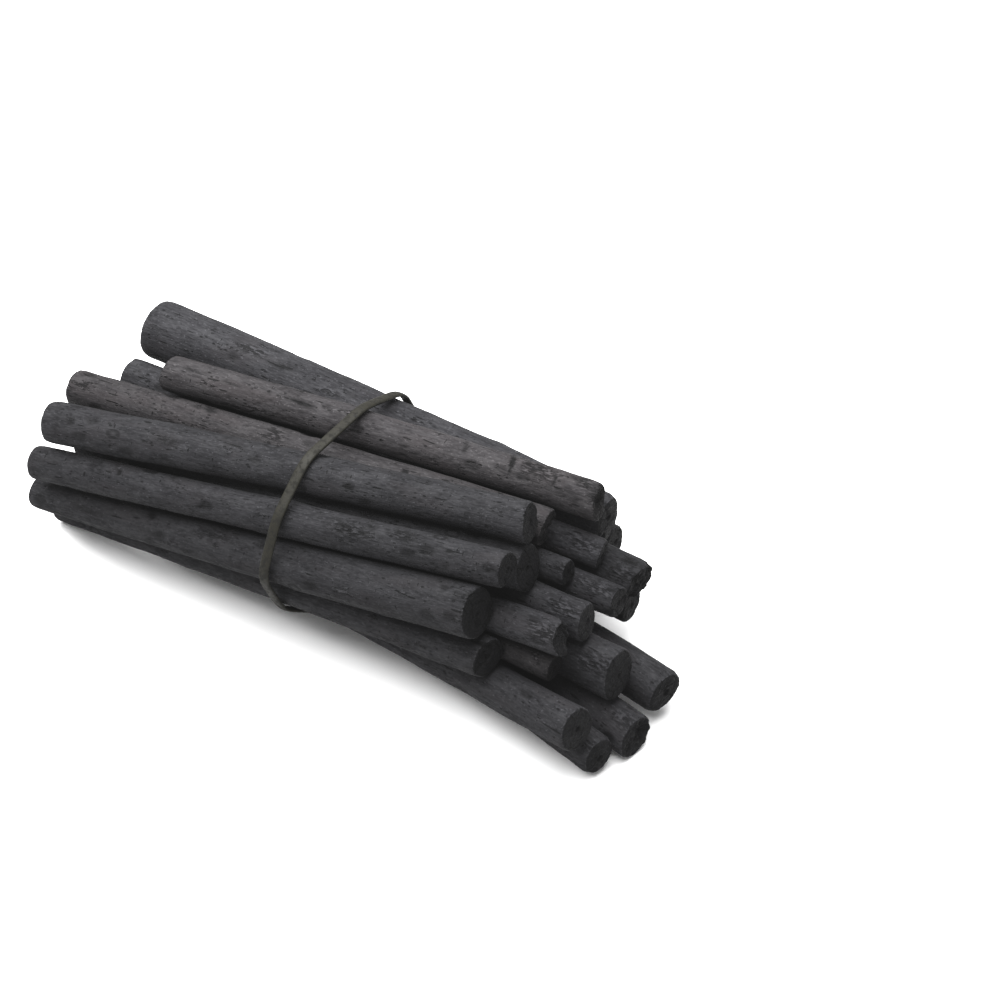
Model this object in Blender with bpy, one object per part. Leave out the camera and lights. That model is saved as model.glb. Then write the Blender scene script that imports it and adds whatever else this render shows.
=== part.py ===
"""Bundle of willow charcoal sticks held by a rubber band.

The bundle lies along X with its near ends towards +X, its back towards +Y and
the floor at z = 0. Sizes are in millimetres until the meshes are made in metres.
"""
import math
import random
from collections import namedtuple

import bmesh
import bpy
import numpy as np

MM = 0.001

# sizes of the sticks, in millimetres
STICK_SIDES = 12
RING_SPACING = 13.0
STICK_CLEARANCE = 0.12
LARGEST_BOW = 1.0
KNOT_LENGTH = 3.6
KNOT_RING_REACH = 2.9
CLOSEST_RINGS = 4.0
BUNDLE_MIDDLE = (0.0, 29.0)
FLAT_SPOT_REACH = 9.0
FLAT_SPOT_HEIGHT = 0.75

# sizes of the rubber band, in millimetres
BAND_WIDTH = 2.8
BAND_THICKNESS = 1.1
BAND_EDGE_RADIUS = 0.35
BAND_CLEARANCE = 0.5
BAND_MIDDLE_X = -4.0
BAND_SKEW_DEG = 5.0
BAND_POINTS = 72
BAND_FLOOR_ROOM = BAND_THICKNESS + BAND_CLEARANCE + 0.6

# the photograph's view; at the tie one millimetre takes PX_PER_MM pixels
VIEW_TURN_DEG = 30.0
VIEW_RISE_DEG = 42.0
PX_PER_MM = 3.90
LENS_PX = 2733.0
PHOTO_MIDDLE_PX = (492.0, 492.0)
TIE_PX = (360.0, 508.0)

# one stick: the pixels that its far and near ends are drawn to, the slope of its line between them
# where the far end is hidden, its length and the radii of its far and near ends in millimetres, the
# places (y, z) that its far and near ends settle from in millimetres, and how its near end was left
Stick = namedtuple("Stick", "name far_px near_px slope_deg length far_radius near_radius "
                            "far_seat near_seat near_end")
STICKS = (
    Stick("stick_01", (150, 320), (613, 525), 23, 136, 8.4, 6.0, (16, 46), (16, 46), "worn"),
    Stick("stick_02", (123, 372), (608, 553), 20, 141, 5.0, 4.0, (5, 43), (5, 43), "cut"),
    Stick("stick_03", (168, 369), (605, 499), 17, 123, 5.0, 5.0, (6, 54), (6, 54), "broken"),
    Stick("stick_04", (70, 386), (554, 530), 16, 138, 5.2, 5.4, (-4, 54), (-4, 54), "slanted"),
    Stick("stick_05", (49, 424), (531, 527), 12, 138, 5.8, 5.5, (-14, 50), (-14, 50), "cut"),
    Stick("stick_06", (35, 456), (513, 570), 14, 142, 4.9, 4.9, (-21, 43), (-21, 43), "cut"),
    Stick("stick_07", (33, 487), (488, 610), 15, 140, 4.5, 6.7, (-25, 34), (-25, 34), "cut"),
    Stick("stick_08", (57, 511), (493, 662), 19, 144, 3.7, 5.6, (-25, 24), (-27, 26), "broken"),
    Stick("stick_09", None, (640, 596), 21, 135, 5.8, 6.8, (24, 37), (24, 37), "broken"),
    Stick("stick_10", None, (630, 612), 25, 135, 4.5, 4.7, (16, 26), (16, 26), "cut"),
    Stick("stick_11", None, (569, 576), 22, 134, 4.0, 3.5, (-6, 46), (-6, 46), "cut"),
    Stick("stick_12", None, (622, 597), 24, 135, 4.3, 4.3, (4, 33), (4, 33), "cut"),
    Stick("stick_13", None, (530, 573), 15, 136, 5.2, 6.3, (-12, 40), (-12, 40), "cut"),
    Stick("stick_14", None, (590, 622), 22, 135, 4.6, 5.1, (-5, 32), (-5, 32), "cut"),
    Stick("stick_15", None, (567, 643), 20, 135, 4.6, 4.8, (-15, 30), (-15, 30), "broken"),
    Stick("stick_16", None, (557, 665), 26, 134, 3.6, 3.9, (-8, 24), (-22, 26), "cut"),
    Stick("stick_17", None, (619, 681), 27, 135, 5.2, 6.8, (0, 17), (-13, 21), "cut"),
    Stick("stick_18", None, (668, 684), 35, 135, 5.0, 6.2, (26, 8), (10, 6), "worn"),
    Stick("stick_19", None, (584, 718), 29, 136, 4.2, 5.9, (-14, 6), (-28, 23), "cut"),
    Stick("stick_20", None, (634, 747), 37, 135, 4.4, 5.9, (14, 6), (-18, 6), "cut"),
    Stick("stick_21", None, (601, 764), 36, 135, 4.2, 5.4, (2, 6), (-33, 6), "worn"),
    Stick("stick_22", None, None, 0, 132, 4.9, 4.7, (30, 5), (26, 11), "cut"),
    Stick("stick_23", None, None, 0, 132, 5.0, 4.9, (26, 27), (27, 29), "cut"),
    Stick("stick_24", None, None, 0, 132, 4.8, 4.9, (8, 22), (4, 20), "cut"),
    Stick("stick_25", None, None, 0, 132, 4.7, 4.7, (16, 18), (30, 20), "cut"),
)

# how an end was left: slant as a share of the radius, raggedness in millimetres, and the shares of
# the radius that are left at the rim and just behind it
END_SHAPES = {
    "cut": (0.10, 0.12, 0.93, 1.00),
    "slanted": (0.14, 0.45, 0.90, 0.98),
    "broken": (0.16, 0.90, 0.90, 0.98),
    "worn": (0.08, 0.15, 0.70, 0.90),
    "rounded": (0.06, 0.10, 0.81, 0.96),
}
END_RINGS = (0.0, 0.6, 2.2, 8.0)
END_TAPER = 12.0
OVAL_SHARE = 0.025
THREE_SIDED_SHARE = 0.012

# settling of the sticks under the band: pulls and pushes as shares of the way, drops in millimetres
SETTLE_STEPS = 900
LOOSE_SWEEPS = 800
FIRST_PULL = 0.25
LAST_PULL = 0.12
LINE_SHARE = 0.3
FIRST_SQUEEZE = 0.022
LAST_SQUEEZE = 0.006
SQUEEZE_ACROSS = 0.8
PUSH_APART = 0.8
HIDDEN_NEAR_X = 58.0
HIDDEN_FAR_X = -72.0
SINK = 0.015
SINK_HIDDEN = 0.06
LAST_SINK = 0.0015
TIP_HIDDEN = 0.006
SECTION_X = np.linspace(-90.0, 100.0, 39)

CHARCOAL_COLOUR = (0.075, 0.075, 0.078)
BROWN_CHARCOAL_COLOUR = (0.088, 0.078, 0.076)
BROWN_STICKS = ("stick_03", "stick_04", "stick_16")
BAND_COLOUR = (0.080, 0.072, 0.052)


def clear_scene():
    """Empties the scene."""
    for thing in list(bpy.data.objects):
        bpy.data.objects.remove(thing, do_unlink=True)


def make_material(name, colour, roughness):
    """A plain material with one colour."""
    material = bpy.data.materials.new(name)
    material.use_nodes = True
    shader = material.node_tree.nodes["Principled BSDF"]
    shader.inputs["Base Color"].default_value = (*colour, 1.0)
    shader.inputs["Roughness"].default_value = roughness
    shader.inputs["Metallic"].default_value = 0.0
    return material


class View:
    """The photograph's view, for turning marks on it into places."""

    def __init__(self):
        turn = math.radians(VIEW_TURN_DEG)
        rise = math.radians(VIEW_RISE_DEG)
        self.right = np.array([math.cos(turn), math.sin(turn), 0.0])
        level = np.array([math.sin(turn), -math.cos(turn), 0.0])
        self.back = level * math.cos(rise) + np.array([0.0, 0.0, math.sin(rise)])
        self.up = np.cross(self.back, self.right)
        tie = np.array([0.0, *BUNDLE_MIDDLE])
        across = (TIE_PX[0] - PHOTO_MIDDLE_PX[0]) / PX_PER_MM
        above = (PHOTO_MIDDLE_PX[1] - TIE_PX[1]) / PX_PER_MM
        self.place = tie - across * self.right - above * self.up + LENS_PX / PX_PER_MM * self.back

    def pixels(self, points):
        """Pixels of the points, and their depths."""
        offset = points - self.place
        depth = -(offset * self.back).sum(-1)
        u = PHOTO_MIDDLE_PX[0] + LENS_PX * (offset * self.right).sum(-1) / depth
        v = PHOTO_MIDDLE_PX[1] - LENS_PX * (offset * self.up).sum(-1) / depth
        return np.stack([u, v], -1), depth

    def shift_to(self, points, pixels):
        """The shift across the view that brings each point to its pixel."""
        now, depth = self.pixels(points)
        move = (pixels - now) * (depth / LENS_PX)[:, None]
        return move[:, :1] * self.right - move[:, 1:] * self.up


def bow_of(index):
    """Sideways bow of a stick at its middle, as (y, z)."""
    pick = random.Random(100 + index)
    angle = pick.uniform(0.0, 2.0 * math.pi)
    size = pick.uniform(0.2, 1.0) * LARGEST_BOW
    return size * math.cos(angle), size * math.sin(angle)


def knots_of(index):
    """Swellings where twigs grew: (place along the stick, side in radians, height)."""
    pick = random.Random(300 + index)
    count = pick.choice((1, 2, 2, 3))
    return [(pick.uniform(0.12, 0.88), pick.uniform(0.0, 2.0 * math.pi), pick.uniform(0.15, 0.5))
            for _ in range(count)]


def plain_radius(index, t):
    """Radius without knots at t, from 0 at the far end to 1 at the near end."""
    stick = STICKS[index]
    return stick.far_radius + t * (stick.near_radius - stick.far_radius)


def knot_height(index, knot, t):
    """Height of one knot at t."""
    return knot[2] * np.exp(-((t - knot[0]) * STICKS[index].length / KNOT_LENGTH) ** 2)


class Pile:
    """The sticks as tapered round bars with a slight bow, while they settle."""

    def __init__(self):
        count = len(STICKS)
        self.length = np.array([float(stick.length) for stick in STICKS])
        self.far = np.array([(-stick.length / 2, *stick.far_seat) for stick in STICKS])
        self.near = np.array([(stick.length / 2, *stick.near_seat) for stick in STICKS])
        self.bow = np.array([(0.0, *bow_of(i)) for i in range(count)])
        self.far_radius = np.array([stick.far_radius for stick in STICKS])
        self.near_radius = np.array([stick.near_radius for stick in STICKS])
        self.pairs = np.triu_indices(count, 1)
        self.half_facet = math.cos(math.pi / STICK_SIDES)

    def places(self, t):
        """Places on the centre lines; t has one row for each stick."""
        bow = (4.0 * t * (1.0 - t))[..., None] * self.bow[:, None]
        return self.far[:, None] + t[..., None] * (self.near - self.far)[:, None] + bow

    def sections(self):
        """Centres and radii of the sticks where they cross the section planes."""
        run = self.near[:, 0] - self.far[:, 0]
        t = (SECTION_X[None] - self.far[:, :1]) / run[:, None]
        inside = (t > -0.03) & (t < 1.03)
        t = np.clip(t, 0.0, 1.0)
        radii = np.array([plain_radius(i, t[i]) + sum(knot_height(i, knot, t[i]) for knot in knots_of(i))
                          for i in range(len(STICKS))])
        return t, self.places(t)[..., 1:], radii * (self.length / run)[:, None], inside

    def push(self, index, t, shift):
        """Moves the sticks so that their places at t move by shift."""
        weight = (1.0 - t) ** 2 + t ** 2
        np.add.at(self.far, index, shift * ((1.0 - t) / weight)[:, None])
        np.add.at(self.near, index, shift * (t / weight)[:, None])

    def separate(self, strength):
        """Pushes overlapping sticks apart once and returns the deepest overlap."""
        t, centres, radii, inside = self.sections()
        first, second = self.pairs
        offset = centres[first] - centres[second]
        gap = np.sqrt((offset ** 2).sum(-1))
        overlap = radii[first] + radii[second] + STICK_CLEARANCE - gap
        deep = np.where(inside[first] & inside[second], overlap, -STICK_CLEARANCE)
        worst = deep.argmax(1)
        rows = np.nonzero(deep.max(1) > 0.0)[0]
        if not len(rows):
            return 0.0
        worst = worst[rows]
        depth = deep[rows, worst]
        normal = offset[rows, worst] / np.maximum(gap[rows, worst], 0.001)[:, None]
        shift = np.zeros((len(rows), 3))
        shift[:, 1:] = normal * (0.5 * strength * depth)[:, None]
        self.push(first[rows], t[first[rows], worst], shift)
        self.push(second[rows], t[second[rows], worst], -shift)
        return float(depth.max())

    def stay_on_floor(self):
        """Lifts the ends out of the floor and the sticks off the band that runs under them."""
        self.far[:, 2] = np.maximum(self.far[:, 2], self.far_radius * self.half_facet)
        self.near[:, 2] = np.maximum(self.near[:, 2], self.near_radius * self.half_facet)
        run = self.near[:, 0] - self.far[:, 0]
        t = np.clip((BAND_MIDDLE_X - self.far[:, 0]) / run, 0.0, 1.0)
        radius = self.far_radius + t * (self.near_radius - self.far_radius)
        low = self.places(t[:, None])[:, 0, 2] - radius - BAND_FLOOR_ROOM
        sunk = np.nonzero(low < 0.0)[0]
        lift = np.zeros((len(sunk), 3))
        lift[:, 2] = -low[sunk]
        self.push(sunk, t[sunk], lift)

    def keep_length(self):
        """Brings each stick back to its length."""
        along = self.near - self.far
        length = np.sqrt((along ** 2).sum(-1))
        fix = ((length - self.length) / length * 0.25)[:, None] * along
        self.far += fix
        self.near -= fix

    def squeeze(self, strength, back):
        """Draws the sticks together at the tie, from the sides and from above, mostly along the view."""
        t = np.clip(-self.far[:, 0] / (self.near[:, 0] - self.far[:, 0]), 0.25, 0.75)
        middle = self.places(t[:, None])[:, 0]
        pull = np.zeros_like(middle)
        pull[:, 1:] = (np.array(BUNDLE_MIDDLE) - middle[:, 1:]) * strength
        pull[:, 2] = np.minimum(pull[:, 2], 0.0)
        pull = SQUEEZE_ACROSS * pull + (1.0 - SQUEEZE_ACROSS) * (pull @ back)[:, None] * back
        self.far += pull
        self.near += pull

    def sink(self, step):
        """Lets every stick down a little."""
        self.far[:, 2] -= step
        self.near[:, 2] -= step


def settled_pile():
    """The sticks laid together under the band, with their ends where the photograph shows them."""
    view = View()
    pile = Pile()
    sees_far = np.array([i for i, stick in enumerate(STICKS) if stick.far_px])
    sees_near = np.array([i for i, stick in enumerate(STICKS) if stick.near_px])
    sees_slope = np.array([i for i, stick in enumerate(STICKS) if stick.near_px and not stick.far_px])
    hidden = np.array([i for i, stick in enumerate(STICKS) if not stick.near_px])
    hidden_seat = np.array([STICKS[i].near_seat for i in hidden], float)
    far_px = np.array([STICKS[i].far_px for i in sees_far], float)
    near_px = np.array([STICKS[i].near_px for i in sees_near], float)
    start_px = np.array([STICKS[i].near_px for i in sees_slope], float)
    slope = np.radians([STICKS[i].slope_deg for i in sees_slope])
    line = np.stack([np.cos(slope), np.sin(slope)], -1)
    for step in range(SETTLE_STEPS):
        fading = 1.0 - step / SETTLE_STEPS
        pull = LAST_PULL + (FIRST_PULL - LAST_PULL) * fading
        pile.near[sees_near] += pull * view.shift_to(pile.near[sees_near], near_px)
        pile.far[sees_far] += pull * view.shift_to(pile.far[sees_far], far_px)
        far_now, _ = view.pixels(pile.far[sees_slope])
        reach = ((far_now - start_px) * line).sum(-1)
        on_line = start_px + reach[:, None] * line
        pile.far[sees_slope] += LINE_SHARE * pull * view.shift_to(pile.far[sees_slope], on_line)
        pile.near[hidden, 0] += LAST_PULL * (HIDDEN_NEAR_X - pile.near[hidden, 0])
        pile.far[hidden, 0] += LAST_PULL * (HIDDEN_FAR_X - pile.far[hidden, 0])
        pile.far[hidden, 2] -= SINK_HIDDEN
        pile.near[hidden, 1:] += LINE_SHARE * LAST_PULL * (hidden_seat - pile.near[hidden, 1:])
        pile.squeeze(LAST_SQUEEZE + (FIRST_SQUEEZE - LAST_SQUEEZE) * fading, view.back)
        pile.sink(SINK * fading)
        pile.keep_length()
        for _ in range(4):
            pile.separate(PUSH_APART)
        pile.stay_on_floor()
        pile.far = np.round(pile.far, 6)
        pile.near = np.round(pile.near, 6)
    for sweep in range(LOOSE_SWEEPS):
        fading = 1.0 - sweep / LOOSE_SWEEPS
        pile.sink(LAST_SINK * fading)
        pile.far[hidden, 2] -= TIP_HIDDEN * fading
        pile.near[hidden, 1:] += LINE_SHARE * LAST_PULL * (hidden_seat - pile.near[hidden, 1:])
        pile.separate(PUSH_APART)
        pile.stay_on_floor()
    pile.far = np.round(pile.far, 3)
    pile.near = np.round(pile.near, 3)
    return pile


def ring_distances(index):
    """Distances from the far end at which the stick has a ring of points."""
    length = STICKS[index].length
    count = int((length - 2 * END_RINGS[-1]) / RING_SPACING)
    inner = [END_RINGS[-1] + RING_SPACING * k for k in range(1, count)]
    knot_rings = [knot[0] * length + side * KNOT_RING_REACH
                  for knot in knots_of(index) for side in (-1, 0, 1)]
    first = END_RINGS[-1] + CLOSEST_RINGS
    middle = sorted(s for s in knot_rings if first < s < length - first)
    middle += [s for s in inner if all(abs(s - other) > CLOSEST_RINGS for other in middle)]
    ends = list(END_RINGS) + [length - s for s in END_RINGS]
    return sorted(ends + middle)


def stick_points(pile, index):
    """Rings of points of one stick from its far to its near end, in millimetres."""
    stick = STICKS[index]
    pick = random.Random(500 + index)
    start = pile.far[index]
    along = pile.near[index] - start
    forward = along / np.linalg.norm(along)
    side = np.cross(forward, (0.0, 0.0, 1.0))
    side /= np.linalg.norm(side)
    up = np.cross(side, forward)
    angle = (np.arange(STICK_SIDES) + 0.5) * 2.0 * math.pi / STICK_SIDES - 0.5 * math.pi
    lobes = 1.0 - OVAL_SHARE * (1.0 + np.cos(2.0 * angle + pick.uniform(0.0, 2.0 * math.pi)))
    lobes -= THREE_SIDED_SHARE * (1.0 + np.cos(3.0 * angle + pick.uniform(0.0, 2.0 * math.pi)))
    ends = {}
    for where, kind in (("far", "rounded"), ("near", stick.near_end)):
        slant, ragged, rim, behind = END_SHAPES[kind]
        toward = math.pi * 1.5 if kind == "slanted" else pick.uniform(0.0, 2.0 * math.pi)
        rough = np.array([pick.uniform(0.0, 1.0) for _ in angle]) * ragged
        radius = stick.far_radius if where == "far" else stick.near_radius
        cut_back = slant * radius * (1.0 + np.cos(angle - toward)) + rough
        ends[where] = (cut_back, {0.0: rim, END_RINGS[1]: behind})
    rings = []
    for distance in ring_distances(index):
        t = distance / stick.length
        from_near = stick.length - distance
        where = "far" if distance < from_near else "near"
        from_end = min(distance, from_near)
        cut_back, shares = ends[where]
        shift = cut_back * max(0.0, 1.0 - from_end / END_TAPER) * (1.0 if where == "far" else -1.0)
        radius = plain_radius(index, t) * lobes * shares.get(round(from_end, 6), 1.0)
        for knot in knots_of(index):
            radius = radius + knot_height(index, knot, t) * np.maximum(0.0, np.cos(angle - knot[1]))
        centre = start + t * along + 4.0 * t * (1.0 - t) * pile.bow[index]
        around = np.cos(angle)[:, None] * side + np.sin(angle)[:, None] * up
        rings.append(centre + radius[:, None] * around + shift[:, None] * forward)
    rings = np.array(rings)
    rest_on_floor(rings, start, stick.length)
    return rings


def rest_on_floor(rings, start, length):
    """Flattens the lowest facet near an end that touches the floor into a small flat spot at z = 0."""
    lowest = (0, STICK_SIDES - 1)
    for ring in rings:
        distance = np.linalg.norm(ring.mean(0) - start)
        near_an_end = min(distance, length - distance) < FLAT_SPOT_REACH
        if near_an_end and ring[lowest, 2].max() < FLAT_SPOT_HEIGHT:
            ring[lowest, 2] = 0.0
    rings[..., 2] = np.maximum(rings[..., 2], 0.0)


def convex_outline(points):
    """Corners of the convex outline of points in a plane, counter-clockwise."""
    points = sorted(map(tuple, np.round(points, 5)))
    halves = []
    for run in (points, points[::-1]):
        half = []
        for point in run:
            while len(half) > 1 and turn(half[-2], half[-1], point) <= 0.0:
                half.pop()
            half.append(point)
        halves += half[:-1]
    return np.array(halves)


def turn(a, b, c):
    """Positive where the way from a over b to c turns left."""
    return (b[0] - a[0]) * (c[1] - a[1]) - (b[1] - a[1]) * (c[0] - a[0])


def band_centre_line(pile):
    """Loop pulled taut round the sticks in a slanting plane, as points in millimetres."""
    skew = math.tan(math.radians(BAND_SKEW_DEG))
    around = np.linspace(0.0, 2.0 * math.pi, 36, endpoint=False)
    outline = []
    for i in range(len(STICKS)):
        along = pile.near[i] - pile.far[i]
        forward = along / np.linalg.norm(along)
        side = np.cross(forward, (0.0, 0.0, 1.0))
        side /= np.linalg.norm(side)
        up = np.cross(side, forward)
        for shift in (-0.5 * BAND_WIDTH, 0.0, 0.5 * BAND_WIDTH):
            t = 0.5
            for _ in range(4):
                middle = pile.far[i] + t * along + 4.0 * t * (1.0 - t) * pile.bow[i]
                t += (BAND_MIDDLE_X + shift + skew * middle[1] - middle[0]) / (along[0] - skew * along[1])
            radius = plain_radius(i, t) + sum(knot_height(i, knot, t) for knot in knots_of(i))
            radius += BAND_CLEARANCE + 0.5 * BAND_THICKNESS
            rim = middle + radius * (np.cos(around)[:, None] * side + np.sin(around)[:, None] * up)
            reach = (BAND_MIDDLE_X + shift + skew * rim[:, 1] - rim[:, 0]) / (forward[0] - skew * forward[1])
            outline.append((rim + reach[:, None] * forward)[:, 1:])
    corners = convex_outline(np.concatenate(outline))
    corners = np.vstack([corners, corners[:1]])
    x = BAND_MIDDLE_X + skew * corners[:, 0]
    line = np.column_stack([x, corners])
    run = np.concatenate([[0.0], np.cumsum(np.sqrt((np.diff(line, axis=0) ** 2).sum(-1)))])
    steps = np.linspace(0.0, run[-1], BAND_POINTS, endpoint=False)
    return np.column_stack([np.interp(steps, run, line[:, axis]) for axis in range(3)])


def band_section():
    """Outline of the band's section as (across, outwards), a rectangle with cut corners."""
    half_width = 0.5 * BAND_WIDTH
    half_thickness = 0.5 * BAND_THICKNESS
    edge = BAND_EDGE_RADIUS
    quarter = [(half_width, half_thickness - edge), (half_width - edge, half_thickness)]
    upper = quarter + [(-x, y) for x, y in quarter[::-1]]
    return np.array(upper + [(x, -y) for x, y in upper[::-1]])


def band_points(pile):
    """Rings of points of the band along its loop, in millimetres."""
    line = band_centre_line(pile)
    tangent = np.roll(line, -1, axis=0) - np.roll(line, 1, axis=0)
    tangent /= np.linalg.norm(tangent, axis=1)[:, None]
    outward = np.cross(tangent, (1.0, 0.0, 0.0))
    outward /= np.linalg.norm(outward, axis=1)[:, None]
    across = np.cross(outward, tangent)
    section = band_section()
    return (line[:, None] + section[None, :, :1] * across[:, None] + section[None, :, 1:] * outward[:, None])


def add_object(name, points, faces, material):
    """An object at the middle of its points, from points in millimetres."""
    middle = 0.5 * (points.min(0) + points.max(0))
    mesh = bpy.data.meshes.new(name)
    work = bmesh.new()
    verts = [work.verts.new((point - middle) * MM) for point in points]
    for face in faces:
        work.faces.new([verts[k] for k in face])
    bmesh.ops.recalc_face_normals(work, faces=work.faces)
    work.to_mesh(mesh)
    work.free()
    mesh.shade_smooth()
    mesh.set_sharp_from_angle(angle=math.radians(40.0))
    mesh.materials.append(material)
    thing = bpy.data.objects.new(name, mesh)
    thing.location = middle * MM
    bpy.context.scene.collection.objects.link(thing)
    return thing


def ring_faces(rows, sides, closed):
    """Quads between rows of points; a closed strip also joins the last row to the first."""
    faces = []
    for row in range(rows if closed else rows - 1):
        after = (row + 1) % rows
        for k in range(sides):
            following = (k + 1) % sides
            faces.append((row * sides + k, row * sides + following,
                          after * sides + following, after * sides + k))
    return faces


def add_stick(index, rings, material):
    """One stick with a fan of faces over each end."""
    rows, sides, _ = rings.shape
    points = np.vstack([rings.reshape(-1, 3), rings[0].mean(0), rings[-1].mean(0)])
    faces = ring_faces(rows, sides, False)
    for first, middle in ((0, rows * sides), ((rows - 1) * sides, rows * sides + 1)):
        faces += [(first + k, first + (k + 1) % sides, middle) for k in range(sides)]
    return add_object(STICKS[index].name, points, faces, material)


def add_band(rings, material):
    """The rubber band."""
    rows, sides, _ = rings.shape
    return add_object("rubber_band", rings.reshape(-1, 3), ring_faces(rows, sides, True), material)


def main():
    """Builds the bundle with its origin in the middle of its footprint."""
    clear_scene()
    charcoal = make_material("charcoal", CHARCOAL_COLOUR, 0.82)
    brown_charcoal = make_material("brown_charcoal", BROWN_CHARCOAL_COLOUR, 0.85)
    rubber = make_material("rubber", BAND_COLOUR, 0.7)
    pile = settled_pile()
    sticks = [stick_points(pile, i) for i in range(len(STICKS))]
    band = band_points(pile)
    everything = np.vstack([rings.reshape(-1, 3) for rings in sticks + [band]])
    middle = 0.5 * (everything.min(0) + everything.max(0))
    middle[2] = 0.0
    for i, rings in enumerate(sticks):
        material = brown_charcoal if STICKS[i].name in BROWN_STICKS else charcoal
        add_stick(i, rings - middle, material)
    add_band(band - middle, rubber)


main()
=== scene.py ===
import math

import bmesh
import bpy
import numpy as np
from mathutils import Matrix, Vector


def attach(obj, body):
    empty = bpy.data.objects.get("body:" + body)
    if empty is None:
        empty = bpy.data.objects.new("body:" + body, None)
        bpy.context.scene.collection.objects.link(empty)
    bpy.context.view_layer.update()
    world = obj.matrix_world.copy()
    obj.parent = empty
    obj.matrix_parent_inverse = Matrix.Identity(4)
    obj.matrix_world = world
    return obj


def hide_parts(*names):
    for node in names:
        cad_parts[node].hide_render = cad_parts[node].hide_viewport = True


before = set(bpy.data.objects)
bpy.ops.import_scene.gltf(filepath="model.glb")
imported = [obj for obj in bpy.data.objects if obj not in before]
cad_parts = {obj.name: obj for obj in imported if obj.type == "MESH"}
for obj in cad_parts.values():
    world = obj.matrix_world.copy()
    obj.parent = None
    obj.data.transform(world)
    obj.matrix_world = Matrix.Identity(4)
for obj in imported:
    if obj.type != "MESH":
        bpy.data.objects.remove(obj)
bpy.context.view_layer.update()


# The sticks: peeled willow twigs, charred through in a closed pot, so they are light, brittle and
# matte. Each keeps the twig's taper, knots and long grain; the ends are cut or snapped, with rings
# and small drying cracks. They lie loose against each other and only the band holds them.

MM = 0.001

# the fine surface that wraps a stick's solid: its columns round the stick and rows from end to end,
# how much closer the rows lie at the ends, half the angle of the solid's facets, how far inside the
# ends the rays start, how far they reach, which points are joined, and how far it stands proud
STICK_COLUMNS = 72
STICK_ROWS = 340
END_CROWDING = 0.6
HALF_FACET = math.pi / 12.0
STICK_START_DEPTH = 6.0 * MM
RAY_REACH = 50.0 * MM
JOINED_WITHIN = 0.01 * MM
SURFACE_SWELL = 0.10 * MM

# depths of what the charring left on that surface, and the depth of hollow at which its painted shade is
# full
SWELL_DEPTH = 0.8 * MM
USUAL_GRAIN_DEPTH = 0.10 * MM
PIT_DEPTH = 0.25 * MM
PITH_DEPTH = 0.4 * MM
FAR_ROUGHNESS = 0.10 * MM
SHADED_HOLLOW_DEPTH = 0.3 * MM

# sizes of these features in millimetres: across, across and along the stick
SWELL_SIZE = (9.0, 9.0, 17.0)
RIDGE_SIZE = (1.3, 1.3, 11.0)
PITTED_PATCH_SIZE = (8.0, 8.0, 17.0)
PIT_SIZE = (1.4, 1.4, 2.4)
CHIPPED_SIZE = (7.0, 7.0, 12.0)
TORN_END_SIZE = (1.9, 1.9, 4.0)

# patterns of one stick are read this many features apart, and sticks whose seeds differ by one are
# read this many metres apart along the grain
LAYER_SHIFT = (17.3, 5.9, 11.1)
SEED_SHIFT = 0.21
SEED_STEP = 3.7


def feed(tree, socket, value):
    """Links a socket to another node's output, or sets its value."""
    if isinstance(value, bpy.types.NodeSocket):
        tree.links.new(value, socket)
    else:
        socket.default_value = value


def put(tree, kind, inputs=None, **settings):
    """A new node with its settings, whose inputs are values or other nodes' outputs."""
    node = tree.nodes.new(kind)
    for name, value in settings.items():
        setattr(node, name, value)
    for key, value in (inputs or {}).items():
        feed(tree, node.inputs[key], value)
    return node


def calculate(tree, operation, *values):
    """Output of a math node."""
    return put(tree, "ShaderNodeMath", dict(enumerate(values)), operation=operation).outputs[0]


def calculate_vector(tree, operation, *values):
    """Output of a vector math node."""
    node = put(tree, "ShaderNodeVectorMath", operation=operation)
    for index, value in enumerate(values):
        feed(tree, node.inputs["Scale" if operation == "SCALE" and index == 1 else index], value)
    return node.outputs["Value" if operation in ("DOT_PRODUCT", "LENGTH") else "Vector"]


def total(tree, *values):
    """Sum of several values."""
    result = values[0]
    for value in values[1:]:
        result = calculate(tree, "ADD", result, value)
    return result


def product(tree, *values):
    """Product of several values."""
    result = values[0]
    for value in values[1:]:
        result = calculate(tree, "MULTIPLY", result, value)
    return result


def grade(tree, value, low, high, out_low=0.0, out_high=1.0):
    """Smooth step of a value between low and high."""
    node = put(tree, "ShaderNodeMapRange", {"Value": value, "From Min": low, "From Max": high,
                                            "To Min": out_low, "To Max": out_high},
               interpolation_type="SMOOTHSTEP")
    return node.outputs["Result"]


def stretched(tree, place, size_mm, layer):
    """The place measured in features of the given size across, across and along a stick."""
    scaled = calculate_vector(tree, "MULTIPLY", place, tuple(1.0 / (size * MM) for size in size_mm))
    return calculate_vector(tree, "ADD", scaled, tuple(shift * layer for shift in LAYER_SHIFT))


def grain_noise(tree, place, size_mm, layer, detail=2.0, roughness=0.5):
    """Noise from 0 to 1 with features of the given size."""
    noise = put(tree, "ShaderNodeTexNoise", {"Vector": stretched(tree, place, size_mm, layer),
                                             "Scale": 1.0, "Detail": detail, "Roughness": roughness})
    return noise.outputs[0]


def grain_cells(tree, place, size_mm, layer, feature="F1"):
    """Distance from the middles or edges of scattered cells, for pits, chips, knots and cracks."""
    cells = put(tree, "ShaderNodeTexVoronoi", {"Vector": stretched(tree, place, size_mm, layer),
                                               "Scale": 1.0}, feature=feature)
    return cells.outputs["Distance"]


def own_place(tree, place, seed):
    """The place moved far along the grain by the stick's seed, so that no two sticks are alike."""
    moved = put(tree, "ShaderNodeCombineXYZ", {2: calculate(tree, "MULTIPLY", seed, SEED_SHIFT)})
    return calculate_vector(tree, "ADD", place, moved.outputs[0])


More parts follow.
